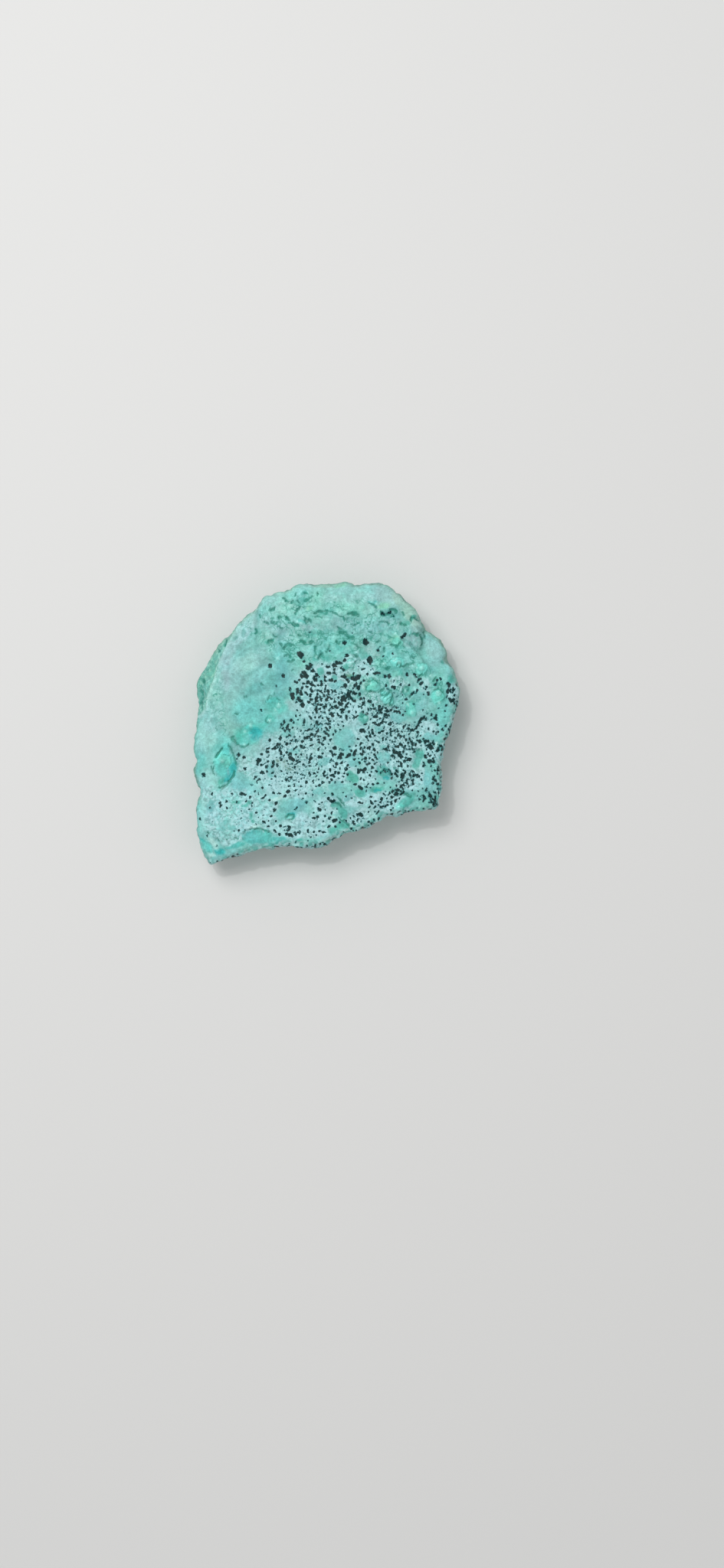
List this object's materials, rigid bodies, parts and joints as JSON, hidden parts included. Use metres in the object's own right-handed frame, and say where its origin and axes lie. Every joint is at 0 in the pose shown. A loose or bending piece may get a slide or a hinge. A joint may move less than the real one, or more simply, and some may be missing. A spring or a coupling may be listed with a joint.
{
  "type": "chrysocolla specimen",
  "caption": "Blue-green mineral slab with a flat resting back, a nearly flat pitted face and an irregular, part natural and part broken rim.",
  "frame": {"origin": "under the middle of the bounding box, on the plane of the flat back", "axes": "+Z out of the face, +Y towards the rounded top rim, +X towards the side with the small lower lobe"},
  "size_m": [0.06, 0.0638, 0.013],
  "materials": {
    "chrysocolla": "matte blue-green stone with glossy green and cyan patches, pale speckled matrix and small black inclusions"
  },
  "bodies": {
    "root": {"chrysocolla_stone": "chrysocolla"}
  },
  "joints": []
}
